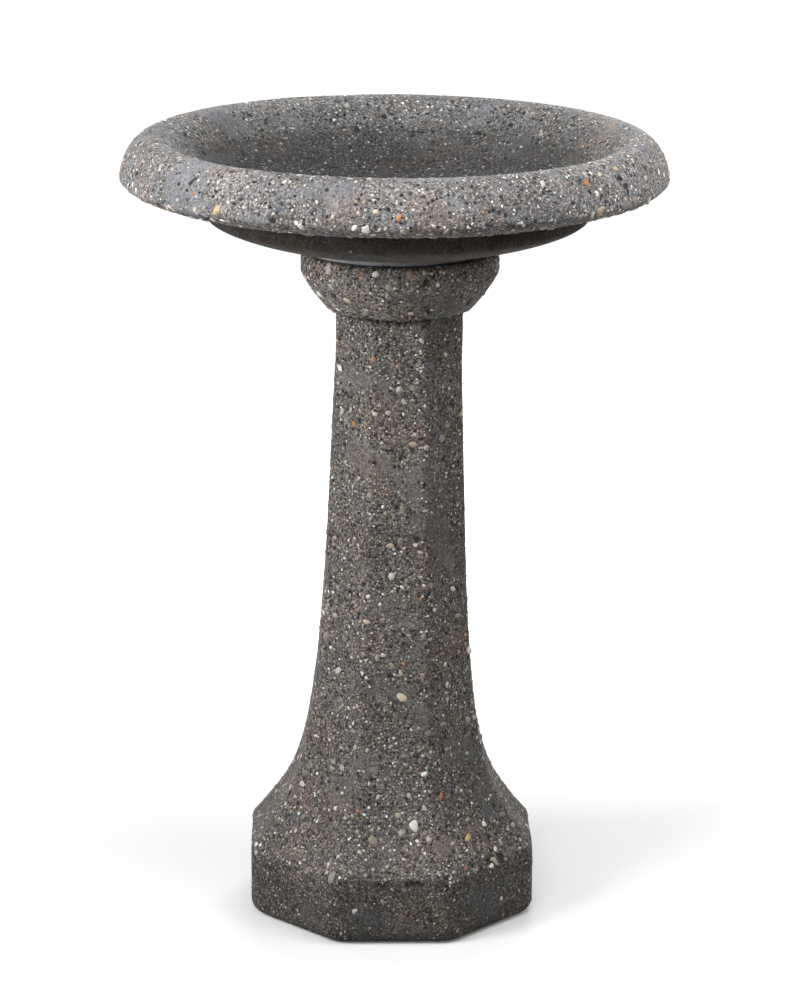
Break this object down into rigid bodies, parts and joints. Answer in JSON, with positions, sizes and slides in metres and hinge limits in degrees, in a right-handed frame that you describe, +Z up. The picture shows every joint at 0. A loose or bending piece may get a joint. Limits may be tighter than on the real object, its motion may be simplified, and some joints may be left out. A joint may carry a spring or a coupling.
{
  "type": "bird bath",
  "caption": "Shallow round concrete bowl with a thick rolled rim, lifting off an octagonal exposed-aggregate pedestal; holds water for birds outdoors.",
  "frame": {"origin": "middle of the pedestal's flat underside, on the ground", "axes": "+Z up along the axis of the pedestal and bowl; the pedestal's flats face +X, -X, +Y and -Y"},
  "size_m": [0.508, 0.508, 0.75],
  "materials": {
    "pedestal_concrete": "rough exposed-aggregate concrete, dark grey-brown cement with mixed pea gravel",
    "bowl_concrete": "exposed-aggregate concrete, denser and paler gravel on the rim, finer in the basin",
    "ring_cement": "smooth grey cement, no gravel"
  },
  "bodies": {
    "pedestal": {"pedestal": "pedestal_concrete"},
    "seat_ring": {"seat_ring": "ring_cement"},
    "bowl": {"bowl": "bowl_concrete"}
  },
  "joints": [
    {"name": "bowl_turn", "type": "hinge", "parent": "pedestal", "child": "seat_ring", "pos_m": [0, 0, 0.6417], "axis": [0, 0, 1], "continuous": true},
    {"name": "bowl_lift", "type": "slide", "parent": "seat_ring", "child": "bowl", "axis": [0, 0, 1], "range_m": [0, 0.12]}
  ]
}
